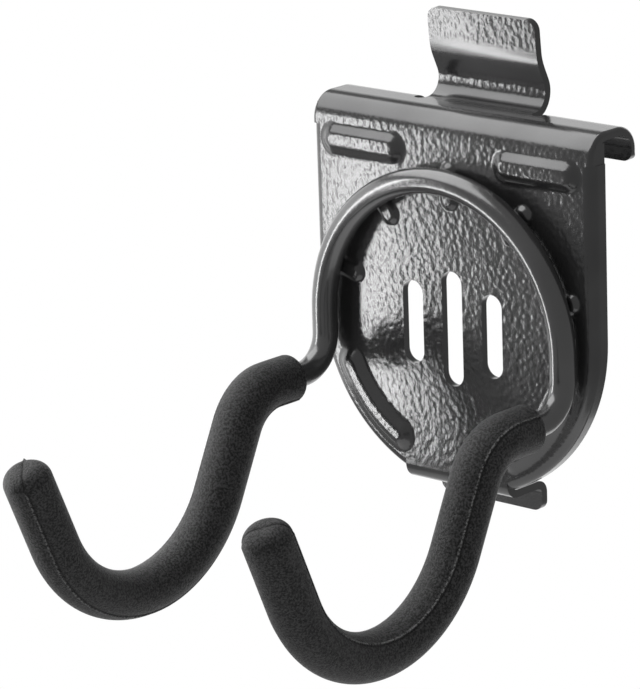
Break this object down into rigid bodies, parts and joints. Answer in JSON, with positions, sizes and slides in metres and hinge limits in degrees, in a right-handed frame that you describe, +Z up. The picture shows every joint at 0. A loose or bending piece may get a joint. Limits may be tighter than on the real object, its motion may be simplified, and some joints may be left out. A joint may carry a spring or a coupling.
{
  "type": "garage utility hook",
  "caption": "Rail-hung utility hook: a round-ended pressed steel plate with a top fold, spring tab and lower foot, and a bent wire with padded twin cradle arms.",
  "frame": {"origin": "middle of the flat underside of the hanging fold, where the hook sits on its rail", "axes": "+X to the right as seen from the front, +Y back towards the wall, +Z up; the arms reach out along -Y"},
  "size_m": [0.088, 0.1342, 0.137],
  "materials": {
    "plate_paint": "glossy dark grey hammered paint",
    "wire_paint": "smooth glossy dark grey paint",
    "sleeve_rubber": "matt black with a fine grain"
  },
  "bodies": {
    "root": {"back_plate": "plate_paint", "hook_wire": "wire_paint", "left_grip_sleeve": "sleeve_rubber", "right_grip_sleeve": "sleeve_rubber"}
  },
  "joints": []
}
